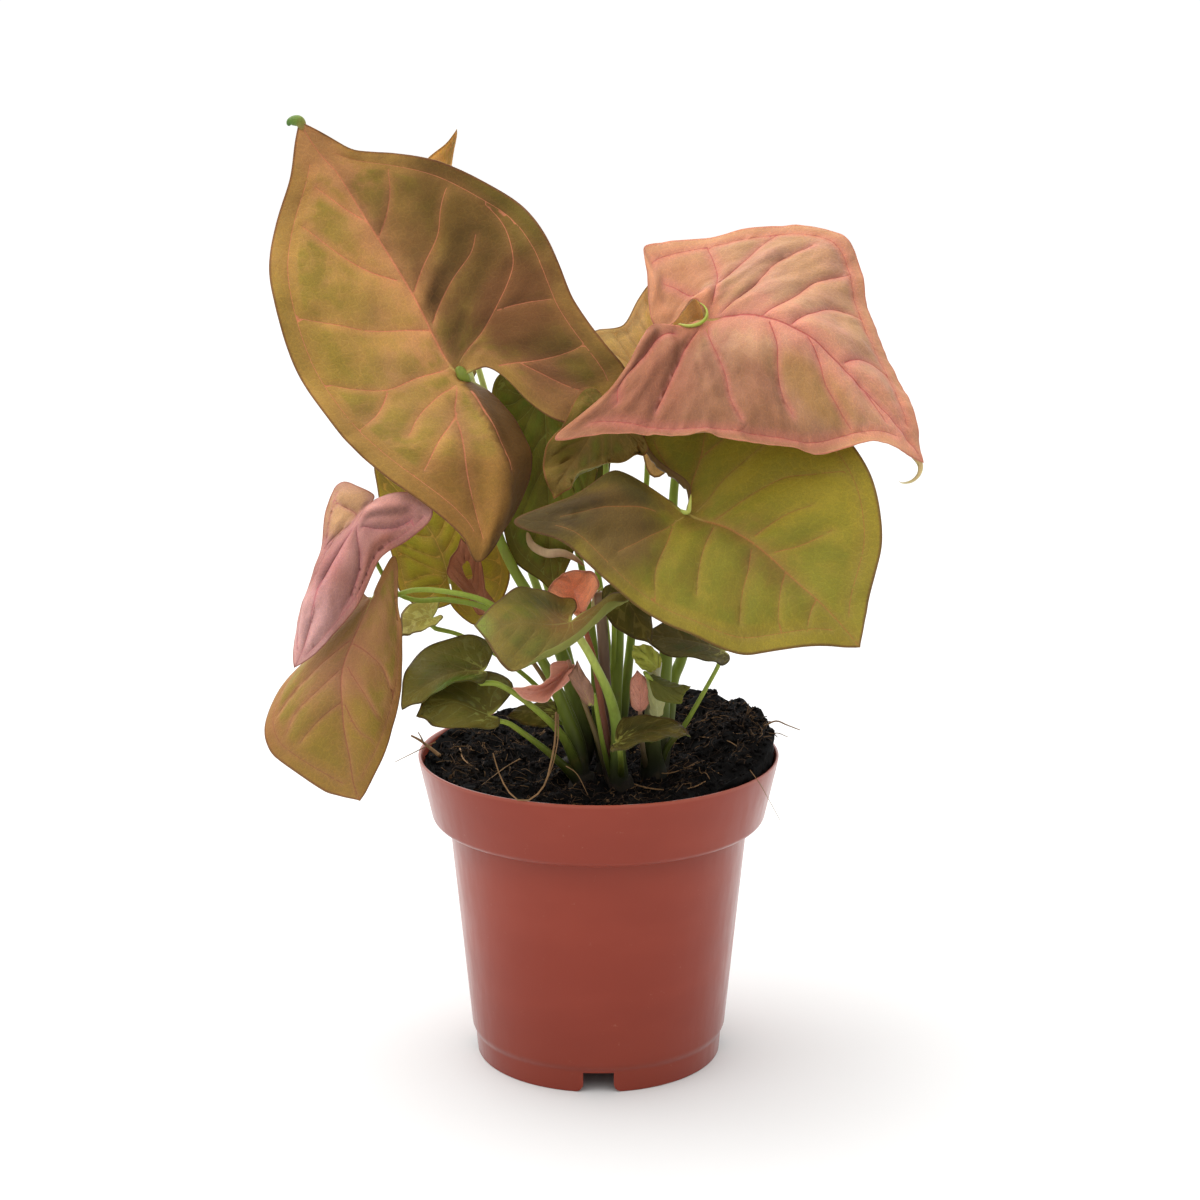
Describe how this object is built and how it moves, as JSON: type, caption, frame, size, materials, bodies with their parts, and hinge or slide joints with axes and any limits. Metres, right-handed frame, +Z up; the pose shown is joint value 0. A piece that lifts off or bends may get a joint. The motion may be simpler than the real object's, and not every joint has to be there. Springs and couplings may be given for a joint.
{
  "type": "potted arrowhead plant",
  "caption": "Young arrowhead plant with pink, tan and olive arrow-shaped leaves on green stalks, growing from peat in a terracotta-coloured plastic nursery pot.",
  "frame": {"origin": "on the pot's axis, on the plane that the pot's foot stands on", "axes": "+Z up along the pot's axis, -Y towards the viewer of the picture, +X to that viewer's right"},
  "size_m": [0.2087, 0.1597, 0.3104],
  "materials": {
    "pot_plastic": "satin",
    "peat": "matte",
    "stalk": "satin",
    "blade_tan": "satin",
    "blade_salmon": "satin",
    "blade_olive": "satin",
    "blade_pink": "satin",
    "blade_dark": "satin",
    "blade_coral": "satin"
  },
  "bodies": {
    "root": {"pot": "pot_plastic", "soil": "peat", "shoot_a": "stalk", "shoot_b": "stalk", "shoot_c": "stalk", "shoot_d": "stalk", "shoot_e": "stalk", "leaf_top_left": "blade_tan", "leaf_top_right": "blade_salmon", "leaf_right": "blade_olive", "leaf_left_pink": "blade_pink", "leaf_left_hanging": "blade_tan", "leaf_centre": "blade_olive", "leaf_low_left": "blade_dark", "leaf_soil_left": "blade_dark", "leaf_behind_left": "blade_olive", "leaf_back_left": "blade_olive", "leaf_back_mid": "blade_olive", "leaf_middle": "blade_olive", "leaf_dark_middle": "blade_dark", "leaf_dark_right": "blade_dark", "leaf_low_right": "blade_dark", "leaf_yellow_left": "blade_olive", "leaf_soil_right": "blade_dark", "leaf_soil_back": "blade_dark", "leaf_coral_leaf": "blade_coral", "leaf_brown_leaf": "blade_coral", "leaf_pink_curl": "blade_pink", "leaf_pink_leaf": "blade_pink", "leaf_torn_leaf": "blade_olive", "leaf_sheath_leaf": "blade_pink", "leaf_rear_left": "blade_olive", "leaf_rear_right": "blade_olive", "leaf_rear_mid": "blade_dark"}
  },
  "joints": []
}
